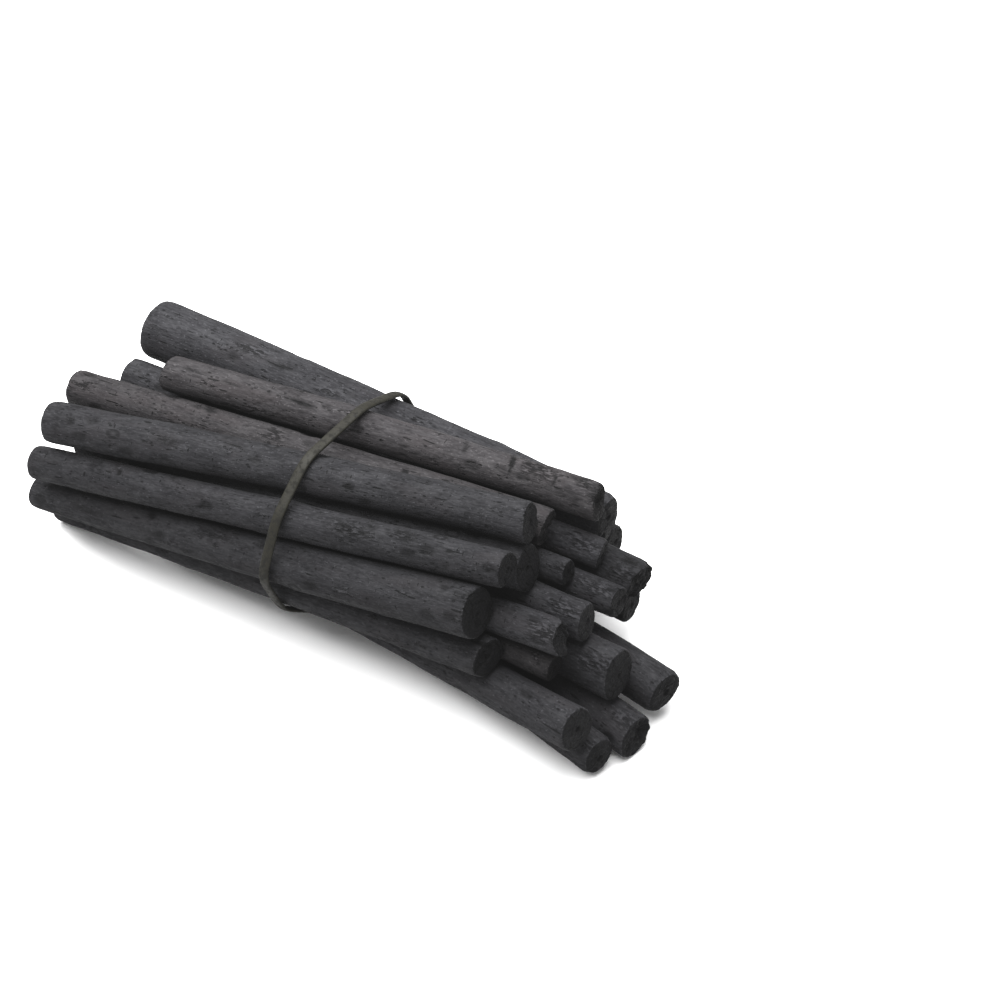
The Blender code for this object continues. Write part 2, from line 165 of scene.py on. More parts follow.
def from_middle_line(tree, place):
    """Distance from a stick's middle line."""
    return calculate_vector(tree, "LENGTH", calculate_vector(tree, "MULTIPLY", place, (1.0, 1.0, 0.0)))


def charred_twig_tree():
    """Geometry nodes that lay a fine charred surface over a stick's solid."""
    tree = bpy.data.node_groups.new("charred_twig", "GeometryNodeTree")
    face = tree.interface
    face.new_socket("Solid", in_out="INPUT", socket_type="NodeSocketGeometry")
    for name, kind, value in (("Far End", "NodeSocketVector", (0.0, 0.0, 0.0)),
                              ("Near End", "NodeSocketVector", (0.1, 0.0, 0.0)),
                              ("Thickness", "NodeSocketFloat", 5.0 * MM),
                              ("Columns", "NodeSocketInt", STICK_COLUMNS),
                              ("Rows", "NodeSocketInt", STICK_ROWS),
                              ("Swell", "NodeSocketFloat", SURFACE_SWELL),
                              ("Seed", "NodeSocketFloat", 0.0),
                              ("Grain Depth", "NodeSocketFloat", USUAL_GRAIN_DEPTH),
                              ("Pit Depth", "NodeSocketFloat", PIT_DEPTH),
                              ("Pitted Share", "NodeSocketFloat", 0.4),
                              ("Near Roughness", "NodeSocketFloat", 0.2 * MM),
                              ("Far Roughness", "NodeSocketFloat", FAR_ROUGHNESS),
                              ("Material", "NodeSocketMaterial", None)):
        socket = face.new_socket(name, in_out="INPUT", socket_type=kind)
        if value is not None:
            socket.default_value = value
    face.new_socket("Stick", in_out="OUTPUT", socket_type="NodeSocketGeometry")
    given = tree.nodes.new("NodeGroupInput").outputs
    far, near, thickness, seed = given["Far End"], given["Near End"], given["Thickness"], given["Seed"]
    position = put(tree, "GeometryNodeInputPosition").outputs[0]
    normal = put(tree, "GeometryNodeInputNormal").outputs[0]

    # directions of the stick
    along = calculate_vector(tree, "SUBTRACT", near, far)
    length = calculate_vector(tree, "LENGTH", along)
    forward = calculate_vector(tree, "NORMALIZE", along)
    side = calculate_vector(tree, "NORMALIZE",
                            calculate_vector(tree, "CROSS_PRODUCT", forward, (0.0, 0.0, 1.0)))
    up = calculate_vector(tree, "CROSS_PRODUCT", side, forward)

    # a sheet that wraps the stick: its rows run over the far end, along the side and over the near
    # end, and lie closer together at the ends
    sheet = put(tree, "GeometryNodeMeshGrid", {
        "Size X": 1.0, "Size Y": 1.0, "Vertices X": given["Rows"],
        "Vertices Y": calculate(tree, "ADD", given["Columns"], 1)})
    corner = put(tree, "ShaderNodeSeparateXYZ", {0: position})
    share = calculate(tree, "ADD", corner.outputs[0], 0.5)
    wave = calculate(tree, "SINE", calculate(tree, "MULTIPLY", share, 2.0 * math.pi))
    crowding = calculate(tree, "MULTIPLY", wave, END_CROWDING / (2.0 * math.pi))
    share = calculate(tree, "SUBTRACT", share, crowding)
    whole = calculate(tree, "MULTIPLY_ADD", thickness, 2.0, length)
    walked = calculate(tree, "MULTIPLY", share, whole)
    left = calculate(tree, "SUBTRACT", whole, walked)
    reach = calculate(tree, "MINIMUM", calculate(tree, "MINIMUM", walked, left), thickness)
    reach = calculate(tree, "MAXIMUM", reach, 0.0)
    walk = calculate(tree, "MAXIMUM", calculate(tree, "SUBTRACT", walked, thickness), 0.0)
    walk = calculate(tree, "MINIMUM", walk, length)
    start_walk = calculate(tree, "MINIMUM", calculate(tree, "MAXIMUM", walk, STICK_START_DEPTH),
                           calculate(tree, "SUBTRACT", length, STICK_START_DEPTH))
    start = calculate_vector(tree, "ADD", far, calculate_vector(tree, "SCALE", forward, start_walk))
    lead = calculate_vector(tree, "SCALE", forward, calculate(tree, "SUBTRACT", walk, start_walk))
    angle = calculate(tree, "MULTIPLY", calculate(tree, "ADD", corner.outputs[1], 0.5), 2.0 * math.pi)

    def ray_to_solid(turned):
        """Direction from the stick's middle line, and the distance to the solid that way."""
        ray_angle = calculate(tree, "ADD", angle, turned)
        around = calculate_vector(
            tree, "ADD", calculate_vector(tree, "SCALE", side, calculate(tree, "COSINE", ray_angle)),
            calculate_vector(tree, "SCALE", up, calculate(tree, "SINE", ray_angle)))
        aim = calculate_vector(tree, "ADD", lead, calculate_vector(tree, "SCALE", around, reach))
        ray = put(tree, "GeometryNodeRaycast", {
            "Target Geometry": given["Solid"], "Source Position": start, "Ray Direction": aim,
            "Ray Length": RAY_REACH})
        distance = put(tree, "GeometryNodeSwitch", {
            "Switch": ray.outputs["Is Hit"], "False": calculate_vector(tree, "LENGTH", aim),
            "True": ray.outputs["Hit Distance"]}, input_type="FLOAT")
        return calculate_vector(tree, "NORMALIZE", aim), distance.outputs[0]

    # the solid's flat facets are evened out by a mean of three rays, half a facet apart
    direction, middle_distance = ray_to_solid(0.0)
    beside = total(tree, ray_to_solid(-HALF_FACET)[1], ray_to_solid(HALF_FACET)[1])
    distance = calculate(tree, "MULTIPLY", middle_distance, 0.5)
    distance = calculate(tree, "MULTIPLY_ADD", beside, 0.25, distance)
    landed = calculate_vector(tree, "ADD", start,
                              calculate_vector(tree, "SCALE", direction, distance))
    wrapped = put(tree, "GeometryNodeSetPosition", {
        "Geometry": sheet.outputs["Mesh"], "Position": landed})
    closed = put(tree, "GeometryNodeMergeByDistance", {
        "Geometry": wrapped.outputs[0], "Distance": JOINED_WITHIN})
    soft = put(tree, "GeometryNodeBlurAttribute", {
        "Value": position, "Iterations": 2, "Weight": 0.7}, data_type="FLOAT_VECTOR")
    smooth = put(tree, "GeometryNodeSetPosition", {
        "Geometry": closed.outputs[0], "Position": soft.outputs[0]})

    def keep(piece, name, value, kind):
        """The piece with a value stored at its points."""
        return put(tree, "GeometryNodeStoreNamedAttribute", {
            "Geometry": piece.outputs[0], "Name": name, "Value": value},
            data_type=kind, domain="POINT")

    def kept(name, kind):
        """The value stored at the points."""
        return put(tree, "GeometryNodeInputNamedAttribute", {"Name": name}, data_type=kind).outputs[0]

    # the stick's own coordinates and the mask of its end faces, kept for the material
    offset = calculate_vector(tree, "SUBTRACT", position, far)
    lay = put(tree, "ShaderNodeCombineXYZ", {
        index: calculate_vector(tree, "DOT_PRODUCT", offset, axis)
        for index, axis in enumerate((side, up, forward))})
    measured = keep(smooth, "lay", lay.outputs[0], "FLOAT_VECTOR")
    facing = calculate_vector(tree, "DOT_PRODUCT", normal, forward)
    end_face = grade(tree, calculate(tree, "ABSOLUTE", facing), 0.40, 0.85)
    measured = keep(measured, "end_face", end_face, "FLOAT")
    place = kept("lay", "FLOAT_VECTOR")
    end_face = kept("end_face", "FLOAT")
    walk_here = put(tree, "ShaderNodeSeparateXYZ", {0: place}).outputs[2]
    near_half = calculate(tree, "GREATER_THAN", walk_here, calculate(tree, "MULTIPLY", length, 0.5))

    # heights of the charred side: long swells, grain ridges, clustered pits and a few chips
    spot = own_place(tree, place, seed)
    swells = grain_noise(tree, spot, SWELL_SIZE, 1)
    swells = calculate(tree, "MULTIPLY_ADD", swells, SWELL_DEPTH, -0.5 * SWELL_DEPTH)
    ridges = calculate(tree, "SUBTRACT", grain_noise(tree, spot, RIDGE_SIZE, 2, 3.0, 0.6), 0.5)
    ridges = product(tree, ridges, 2.0, given["Grain Depth"])
    pitted = calculate(tree, "SUBTRACT", 1.0, given["Pitted Share"])
    pitted = calculate(tree, "SUBTRACT", grain_noise(tree, spot, PITTED_PATCH_SIZE, 3), pitted)
    pitted = grade(tree, pitted, -0.05, 0.05)
    pits = grade(tree, grain_cells(tree, spot, PIT_SIZE, 4), 0.45, 0.10)
    pits = product(tree, pits, pitted, given["Pit Depth"])
    chips = grade(tree, grain_cells(tree, spot, CHIPPED_SIZE, 5), 0.24, 0.12)
    chips = product(tree, chips, 1.3, given["Pit Depth"])

    # heights of the end faces: a torn or sawn face with a sunken pith
    end_depth = put(tree, "GeometryNodeSwitch", {"Switch": near_half, "False": given["Far Roughness"],
                                                 "True": given["Near Roughness"]}, input_type="FLOAT")
    torn = calculate(tree, "SUBTRACT", grain_noise(tree, spot, TORN_END_SIZE, 6, 4.0, 0.6), 0.52)
    torn = product(tree, torn, 3.0, end_depth.outputs[0])
    pith = grade(tree, from_middle_line(tree, place), 1.1 * MM, 0.4 * MM, 0.0, PITH_DEPTH)
    end_height = calculate(tree, "SUBTRACT", torn, pith)
    hollow = total(tree, pits, chips)
    height = calculate(tree, "SUBTRACT", total(tree, swells, ridges, given["Swell"]), hollow)
    height = calculate(tree, "MULTIPLY_ADD", end_height, end_face, height)
    # the depth of the hollows is kept so that the material can paint shade into them
    soot_and_shade = keep(measured, "hollow", calculate(tree, "DIVIDE", hollow, SHADED_HOLLOW_DEPTH), "FLOAT")
    rough = put(tree, "GeometryNodeSetPosition", {
        "Geometry": soot_and_shade.outputs[0], "Offset": calculate_vector(tree, "SCALE", normal, height)})

    # nothing goes below the surface that the bundle lies on
    above_table = calculate_vector(tree, "MAXIMUM", position, (-1.0, -1.0, 0.0))
    lying = put(tree, "GeometryNodeSetPosition", {"Geometry": rough.outputs[0], "Position": above_table})
    shaded = put(tree, "GeometryNodeSetShadeSmooth", {"Geometry": lying.outputs[0]})
    real = put(tree, "GeometryNodeRealizeInstances", {"Geometry": shaded.outputs[0]})
    finished = put(tree, "GeometryNodeSetMaterial", {
        "Geometry": real.outputs[0], "Material": given["Material"]})
    put(tree, "NodeGroupOutput", {"Stick": finished.outputs[0]})
    return tree


# sizes of the charred wood's pattern in millimetres: across, across and along the grain
STREAK_SIZE = (0.75, 0.75, 5.0)
FIBRE_SIZE = (0.42, 0.42, 1.5)
CLOUD_SIZE = (4.0, 4.0, 9.0)
PORE_CLUSTER_SIZE = (3.2, 3.2, 7.0)
PORE_SIZE = (1.0, 1.0, 1.9)
FLAKED_PATCH_SIZE = (3.4, 3.4, 8.0)
CRUMB_SIZE = (0.5, 0.5, 0.9)
TORN_FIBRE_SIZE = (0.62, 0.62, 2.0)
SLIT_SIZE = (0.8, 0.8, 5.5)
NICK_SIZE = (2.0, 2.0, 0.55)
KNOT_SIZE = (10.0, 10.0, 17.0)


def char_grain_group():
    """Shader group: masks and height of charred wood's grain, pores, splits, scars, knots and ash."""
    group = bpy.data.node_groups.new("char_grain", "ShaderNodeTree")
    group.interface.new_socket("Vector", in_out="INPUT", socket_type="NodeSocketVector")
    group.interface.new_socket("Scar", in_out="INPUT", socket_type="NodeSocketFloat")
    for name in ("Tone", "Ash", "Dark", "Height"):
        group.interface.new_socket(name, in_out="OUTPUT", socket_type="NodeSocketFloat")
    given = group.nodes.new("NodeGroupInput").outputs
    place = given["Vector"]

    # tone: long streaks, short fibres and wide clouds
    streaks = grain_noise(group, place, STREAK_SIZE, 1, 3.0, 0.7)
    fibres = grain_noise(group, place, FIBRE_SIZE, 2, 2.0, 0.6)
    clouds = grain_noise(group, place, CLOUD_SIZE, 3, 3.0, 0.65)
    tone = total(group, calculate(group, "MULTIPLY", grade(group, streaks, 0.32, 0.68), 0.35),
                 calculate(group, "MULTIPLY", grade(group, fibres, 0.28, 0.72), 0.35),
                 calculate(group, "MULTIPLY", grade(group, clouds, 0.34, 0.66), 0.30))

    # pores in clusters, and scars where the skin has flaked off and left pitted wood
    where = grain_noise(group, place, PORE_CLUSTER_SIZE, 4, 3.0, 0.6)
    clusters = grade(group, where, 0.50, 0.60)
    pore = grade(group, grain_cells(group, place, PORE_SIZE, 5), 0.34, 0.16)
    pores = product(group, pore, clusters)
    flaked = grade(group, grain_noise(group, place, FLAKED_PATCH_SIZE, 6, 4.0, 0.7), 0.63, 0.67)
    flaked = calculate(group, "MAXIMUM", flaked, given["Scar"])
    crumbs = grain_noise(group, place, CRUMB_SIZE, 7, 2.0, 0.6)
    torn_fibres = grain_noise(group, place, TORN_FIBRE_SIZE, 12, 3.0, 0.6)
    scars = product(group, flaked, grade(group, torn_fibres, 0.51, 0.44))

    # thin splits along the grain, nicks across it, and the rings of small knots
    slits = grade(group, grain_noise(group, place, SLIT_SIZE, 8, 1.0), 0.31, 0.26)
    nicks = grade(group, grain_noise(group, place, NICK_SIZE, 9, 1.0), 0.265, 0.23)
    knot = grain_cells(group, place, KNOT_SIZE, 10)
    knot_ring = product(group, grade(group, knot, 0.06, 0.10), grade(group, knot, 0.16, 0.115), 0.75)
    splits = calculate(group, "MAXIMUM", calculate(group, "MAXIMUM", slits, nicks), knot_ring)

    # ash on the crumbs and on the torn fibres; the pores, splits and scars are darkened as painted shade
    ash = calculate(group, "MULTIPLY", grade(group, crumbs, 0.60, 0.72), 0.45)
    pale_flakes = product(group, flaked, grade(group, torn_fibres, 0.53, 0.60), 0.5)
    ash = calculate(group, "MAXIMUM", ash, pale_flakes)
    dark = calculate(group, "MAXIMUM", calculate(group, "MULTIPLY", pores, 0.85), splits)
    dark = calculate(group, "MAXIMUM", dark, calculate(group, "MULTIPLY", scars, 0.95))
    height = calculate(group, "MULTIPLY_ADD", fibres, 0.7, calculate(group, "MULTIPLY", streaks, 0.7))
    height = calculate(group, "MULTIPLY_ADD", crumbs, 0.3, height)
    height = calculate(group, "SUBTRACT", height, dark)
    height = calculate(group, "ADD", height, product(group, flaked, torn_fibres, 3.5))
    put(group, "NodeGroupOutput", {"Tone": tone, "Ash": ash, "Dark": dark, "Height": height})
    return group


char_grain = char_grain_group()

# the finish: black of soot, which also serves as the painted shade in hollows, pores, splits and cracks,
# and how bright ash, the painted highlight on the end rims and the end faces are against the pale grain
SOOT_AND_SHADE_BLACK = (0.0028, 0.0028, 0.0030)
ASH_BRIGHTNESS = 2.3
RIM_HIGHLIGHT_BRIGHTNESS = 2.0
END_FACE_BRIGHTNESS = 0.31
GRAIN_BUMP = 0.22 * MM
CHAR_SPECULAR = 0.1

# sizes in millimetres of the warm patches, and of the rings, cracks and crumbs of the end faces
WARM_PATCH_SIZE = (6.0, 6.0, 20.0)
RING_WIDTH = 0.95 * MM
RING_WOBBLE = 1.3 * MM
RING_WOBBLE_SIZE = (3.0, 3.0, 3.0)
CRACK_SIZE = (4.6, 4.6, 38.0)
CRACKED_PATCH_SIZE = (4.0, 4.0, 4.0)
END_CRUMB_SIZE = (0.6, 0.6, 0.6)


def mix_colour(tree, share, first, second, blend="MIX"):
    """Colour output of a mix of two colours."""
    node = put(tree, "ShaderNodeMix", data_type="RGBA", blend_type=blend)
    for key, value in (("Factor", share), (6, first), (7, second)):
        feed(tree, node.inputs[key], value)
    return node.outputs[2]


def full_colour(colour, brightness=1.0):
    """A colour with its alpha, at a brightness."""
    return tuple(brightness * part for part in colour) + (1.0,)


def charcoal_material(name, dark, pale, cast):
    """Matte charred wood: grain between a dark and a pale grey, a cast in patches, painted shade in the
    hollows and a painted highlight on the end rims.
    """
    material = bpy.data.materials.new(name)
    material.use_nodes = True
    tree = material.node_tree
    shader = tree.nodes["Principled BSDF"]
    place = put(tree, "ShaderNodeAttribute", attribute_name="lay").outputs["Vector"]
    end_face, hollow, seed, tone, scar = (
        put(tree, "ShaderNodeAttribute", attribute_name=kept).outputs["Fac"]
        for kept in ("end_face", "hollow", "seed", "tone", "scar"))
    spot = own_place(tree, place, seed)
    grain = put(tree, "ShaderNodeGroup", node_tree=char_grain)
    tree.links.new(spot, grain.inputs["Vector"])
    tree.links.new(scar, grain.inputs["Scar"])

    # the side of the stick
    colour = mix_colour(tree, grain.outputs["Tone"], full_colour(dark), full_colour(pale))
    warm = grade(tree, grain_noise(tree, spot, WARM_PATCH_SIZE, 11), 0.50, 0.66)
    colour = mix_colour(tree, calculate(tree, "MULTIPLY", warm, 0.6), colour, full_colour(cast))
    colour = mix_colour(tree, grain.outputs["Ash"], colour, full_colour(pale, ASH_BRIGHTNESS))

    # the end faces: rings, a dark pith and a few drying cracks; the faces are painted darker than the
    # side, partly as their own soot black and partly as painted shade where the ends face away from the
    # light
    from_middle = from_middle_line(tree, place)
    wobble = calculate(tree, "MULTIPLY", grain_noise(tree, spot, RING_WOBBLE_SIZE, 12), RING_WOBBLE)
    rings = calculate(tree, "MULTIPLY", calculate(tree, "ADD", from_middle, wobble),
                      2.0 * math.pi / RING_WIDTH)
    rings = grade(tree, calculate(tree, "SINE", rings), -0.6, 0.9)
    gaps = grain_cells(tree, spot, CRACK_SIZE, 13, "DISTANCE_TO_EDGE")
    opened = grade(tree, grain_noise(tree, spot, CRACKED_PATCH_SIZE, 14), 0.42, 0.56)
    cracks = product(tree, grade(tree, gaps, 0.055, 0.015), opened)
    pith = grade(tree, from_middle, 0.85 * MM, 0.45 * MM)
    crumbs = grain_noise(tree, spot, END_CRUMB_SIZE, 15, 3.0, 0.6)
    face_tone = calculate(tree, "MULTIPLY_ADD", rings, 0.35, calculate(tree, "MULTIPLY", crumbs, 0.8))
    face_colour = mix_colour(tree, face_tone, full_colour(SOOT_AND_SHADE_BLACK), full_colour(pale, END_FACE_BRIGHTNESS))
    colour = mix_colour(tree, end_face, colour, face_colour)

    # the rim between them, paler as a painted highlight broken up by the crumbs
    rim = calculate(tree, "ABSOLUTE", calculate(tree, "MULTIPLY_ADD", end_face, 2.0, -1.0))
    rim = calculate(tree, "SUBTRACT", 1.0, rim)
    rim_highlight = product(tree, rim, 0.6, grade(tree, crumbs, 0.45, 0.60))
    colour = mix_colour(tree, rim_highlight, colour, full_colour(pale, RIM_HIGHLIGHT_BRIGHTNESS))

    # painted shade in every hollow, pore, split, scar, crack and the pith, darkened towards soot black,
    # and the whole stick's tone, partly its own and partly painted shade and painted light by where the
    # stick lies
    side = calculate(tree, "SUBTRACT", 1.0, end_face)
    face_dark = calculate(tree, "MULTIPLY", calculate(tree, "MAXIMUM", cracks, pith), end_face)
    soot_and_shade = calculate(tree, "MAXIMUM", product(tree, grain.outputs["Dark"], side, 0.85), face_dark)
    soot_and_shade = calculate(tree, "MAXIMUM", soot_and_shade, calculate(tree, "MULTIPLY", hollow, 0.5))
    colour = mix_colour(tree, calculate(tree, "MINIMUM", soot_and_shade, 0.92), colour, full_colour(SOOT_AND_SHADE_BLACK))
    brightness = put(tree, "ShaderNodeCombineColor", {0: tone, 1: tone, 2: tone})
    colour = mix_colour(tree, 1.0, colour, brightness.outputs[0], "MULTIPLY")
    tree.links.new(colour, shader.inputs["Base Color"])
    roughness = grade(tree, grain.outputs["Tone"], 0.2, 0.8, 0.88, 0.62)
    tree.links.new(roughness, shader.inputs["Roughness"])
    height = calculate(tree, "SUBTRACT", grain.outputs["Height"],
                       calculate(tree, "MULTIPLY", face_dark, 1.5))
    height = calculate(tree, "MULTIPLY_ADD", product(tree, crumbs, end_face), 0.8, height)
    bump = put(tree, "ShaderNodeBump", {"Strength": 0.9, "Distance": GRAIN_BUMP, "Height": height})
    tree.links.new(bump.outputs[0], shader.inputs["Normal"])
    shader.inputs["Specular IOR Level"].default_value = CHAR_SPECULAR
    return material


charcoal = charcoal_material("charcoal", (0.0110, 0.0109, 0.0122), (0.0370, 0.0366, 0.0402),
                             (0.0255, 0.0240, 0.0261))
brown_charcoal = charcoal_material("brown_charcoal", (0.0125, 0.0115, 0.0124),
                                   (0.0420, 0.0393, 0.0412), (0.0315, 0.0278, 0.0290))
twig_tree = charred_twig_tree()


def twig_socket(name):
    """Identifier of the charred twig tree's input."""
    return next(item.identifier for item in twig_tree.interface.items_tree
                if item.name == name and item.in_out == "INPUT")


def welded_copy(node, name):
    """A copy of a CAD node's mesh with its loose triangles joined."""
    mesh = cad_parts[node].data.copy()
    mesh.name = name
    work = bmesh.new()
    work.from_mesh(mesh)
    bmesh.ops.remove_doubles(work, verts=work.verts, dist=0.002 * MM)
    work.to_mesh(mesh)
    work.free()
    piece = bpy.data.objects.new(name, mesh)
    bpy.context.scene.collection.objects.link(piece)
    return piece


def stick_axis(mesh):
    """Far end, near end and mean radius of a stick, from its solid's longest direction."""
    points = np.array([tuple(vertex.co) for vertex in mesh.vertices])
    middle = points.mean(0)
    _, _, axes = np.linalg.svd(points - middle)
    forward = axes[0] * np.sign(axes[0][0])
    walk = (points - middle) @ forward
    away = np.linalg.norm(points - middle - walk[:, None] * forward, axis=1)
    return middle + walk.min() * forward, middle + walk.max() * forward, float(np.percentile(away, 70))


def plain_mesh(piece):
    """Applies the piece's modifiers and turns its faces outwards."""
    depsgraph = bpy.context.evaluated_depsgraph_get()
    mesh = bpy.data.meshes.new_from_object(piece.evaluated_get(depsgraph), depsgraph=depsgraph)
    piece.modifiers.clear()
    work = bmesh.new()
    work.from_mesh(mesh)
    if work.calc_volume(signed=True) < 0.0:
        bmesh.ops.reverse_faces(work, faces=work.faces)
    work.to_mesh(mesh)
    work.free()
    old = piece.data
    piece.data = mesh
    bpy.data.meshes.remove(old)
    return mesh


# the photograph's view: from above the front, turned towards the near ends; at the tie one
# millimetre takes PX_PER_MM pixels
VIEW_TURN_DEG = 30.0
VIEW_RISE_DEG = 42.0
LENS_PX = 2733.0
PX_PER_MM = 3.90
PHOTO_SIZE_PX = 984.0
TIE_PX = (360.0, 508.0)
TIE_PLACE = Vector((-2.536, -5.416, 29.0)) * MM

turn = math.radians(VIEW_TURN_DEG)
rise = math.radians(VIEW_RISE_DEG)
right = Vector((math.cos(turn), math.sin(turn), 0.0))
back = Vector((math.sin(turn) * math.cos(rise), -math.cos(turn) * math.cos(rise), math.sin(rise)))
above = back.cross(right)
pixel = MM / PX_PER_MM
view_place = (TIE_PLACE - (TIE_PX[0] - 0.5 * PHOTO_SIZE_PX) * pixel * right
              - (0.5 * PHOTO_SIZE_PX - TIE_PX[1]) * pixel * above + LENS_PX * pixel * back)

# what sets single sticks apart: tone of the whole stick, partly its own and partly painted shade on the
# lower front sticks and painted light on the upper ones, depth of its grain, share of its side that is
# pitted, and roughness of its near end in millimetres; the rest keep the usual values
USUAL_STICK = (0.74, 0.10, 0.45, 0.16)
SINGLE_STICKS = {
    "stick_01": (0.97, 0.07, 0.42, 0.30),
    "stick_02": (0.92, 0.12, 0.45, 0.16),
    "stick_03": (1.06, 0.18, 0.48, 0.60),
    "stick_04": (0.92, 0.12, 0.50, 0.50),
    "stick_05": (0.70, 0.06, 0.40, 0.14),
    "stick_06": (0.67, 0.10, 0.52, 0.16),
    "stick_07": (0.58, 0.06, 0.38, 0.20),
    "stick_08": (0.65, 0.08, 0.42, 0.30),
    "stick_09": (0.60, 0.16, 0.55, 0.80),
    "stick_15": (0.86, 0.16, 0.50, 0.80),
    "stick_16": (0.62, 0.10, 0.40, 0.25),
    "stick_17": (0.74, 0.09, 0.48, 0.25),
    "stick_18": (0.72, 0.07, 0.40, 0.25),
    "stick_19": (0.72, 0.07, 0.40, 0.20),
    "stick_20": (0.80, 0.10, 0.48, 0.50),
    "stick_21": (0.70, 0.08, 0.42, 0.30),
}
BROWN_STICKS = ("stick_03", "stick_04", "stick_16")

# single marks: the stick, the pixel at the mark's middle, its half length along the stick and half
# width in pixels, how dark its hollow is painted as painted shade, and how much of the skin has flaked
# off
MARKS = (
    ("stick_01", (160, 331), (9.0, 2.5), 0.5, 0.3),
    ("stick_01", (284, 367), (13.0, 2.0), 0.9, 0.4),
    ("stick_01", (252, 350), (16.0, 4.0), 0.1, 0.9),
    ("stick_01", (330, 392), (12.0, 3.0), 0.2, 0.8),
    ("stick_03", (302, 403), (12.0, 1.8), 1.3, 0.2),
    ("stick_03", (192, 370), (9.0, 1.4), 0.8, 0.3),
    ("stick_03", (232, 384), (10.0, 1.4), 0.7, 0.3),
    ("stick_03", (466, 447), (2.2, 6.0), 0.9, 0.5),
    ("stick_03", (512, 463), (2.4, 9.0), 1.3, 0.5),
    ("stick_03", (540, 470), (19.0, 8.0), 0.3, 1.0),
    ("stick_03", (586, 482), (9.0, 7.0), 0.4, 1.0),
    ("stick_03", (597, 493), (7.0, 11.0), 0.9, 1.0),
    ("stick_03", (555, 479), (1.6, 7.0), 1.0, 0.3),
    ("stick_03", (560, 493), (36.0, 4.5), 0.5, 0.2),
    ("stick_02", (275, 434), (8.0, 8.0), 0.2, 0.9),
    ("stick_02", (209, 409), (5.0, 3.0), 0.9, 0.4),
    ("stick_04", (276, 434), (9.0, 7.0), 0.2, 0.9),
    ("stick_04", (210, 409), (6.0, 3.0), 0.9, 0.4),
    ("stick_04", (405, 472), (3.0, 2.4), 1.6, 0.0),
    ("stick_04", (500, 494), (2.0, 4.5), 1.3, 0.2),
    ("stick_05", (70, 420), (4.5, 4.5), 0.8, 0.2),
    ("stick_05", (166, 441), (9.0, 4.0), 0.7, 0.4),
    ("stick_05", (190, 421), (4.0, 3.0), 1.0, 0.0),
    ("stick_05", (348, 487), (5.5, 2.8), 1.2, 0.3),
    ("stick_05", (365, 502), (7.0, 3.0), 0.8, 0.4),
    ("stick_06", (96, 467), (7.0, 7.0), 0.5, 0.5),
    ("stick_06", (119, 472), (2.0, 2.6), 1.4, 0.0),
    ("stick_06", (350, 530), (22.0, 7.0), 0.45, 1.0),
    ("stick_06", (404, 535), (9.0, 5.0), 0.6, 1.0),
    ("stick_07", (152, 515), (4.0, 4.0), 1.0, 0.2),
    ("stick_07", (212, 535), (22.0, 6.0), 0.3, 0.6),
    ("stick_07", (88, 511), (13.0, 2.5), 0.6, 0.3),
    ("stick_08", (486, 645), (8.0, 2.2), 1.7, 0.2),
    ("stick_09", (622, 574), (16.0, 9.0), 0.2, 0.9),
    ("stick_09", (631, 562), (8.0, 4.0), 0.8, 0.9),
    ("stick_09", (630, 604), (8.0, 11.0), 1.0, 0.8),
    ("stick_11", (562, 569), (10.0, 6.0), 0.3, 0.8),
    ("stick_02", (584, 544), (16.0, 6.0), 0.2, 0.9),
    ("stick_12", (598, 588), (20.0, 7.0), 0.2, 0.8),
    ("stick_14", (566, 610), (17.0, 7.0), 0.2, 0.9),
    ("stick_15", (546, 634), (19.0, 9.0), 0.2, 0.9),
    ("stick_15", (564, 628), (5.0, 6.0), 0.9, 1.0),
    ("stick_17", (594, 664), (18.0, 10.0), 0.2, 0.8),
    ("stick_08", (455, 646), (24.0, 7.0), 0.2, 0.5),
    ("stick_20", (626, 722), (16.0, 8.0), 0.2, 0.8),
    ("stick_21", (590, 748), (12.0, 7.0), 0.2, 0.8),
    ("stick_18", (664, 690), (7.0, 2.2), 1.4, 0.2),
)
MARK_DEPTH = 0.28 * MM
MARK_SHADE = 1.7
MARK_FADE = 1.6
MARK_RAGS = (0.22, 9.0)

# chips broken out of near ends: the stick, the pixel at the chip's middle, its radius and depth in
# millimetres; a chip has its full depth at the end and fades out along the side
CHIPS = (
    ("stick_04", (560, 528), 2.2, 1.2),
    ("stick_09", (651, 566), 2.0, 1.2),
    ("stick_09", (632, 606), 3.2, 2.4),
    ("stick_15", (566, 626), 2.2, 2.0),
    ("stick_15", (574, 642), 1.8, 1.3),
    ("stick_20", (642, 730), 2.2, 1.3),
)
CHIP_FULL = 3.0 * MM
# how far behind the near end a chip's hollow is darkened with painted shade
CHIP_SHADE_REACH = 4.0 * MM
CHIP_REACH = 8.0 * MM
CHIP_FADE = 1.5
CHIP_RAGS = (0.25, 7.0)


def ragged_weight(along, across, half, fade, rags, start):
    """1 inside a mark of the given half sizes and 0 outside it, with a ragged edge between."""
    depth, number = rags
    away = np.hypot(along / half[0], across / half[1])
    away += depth * np.sin(number * np.arctan2(across, along) + start)
    return np.clip(fade - away, 0.0, 1.0)


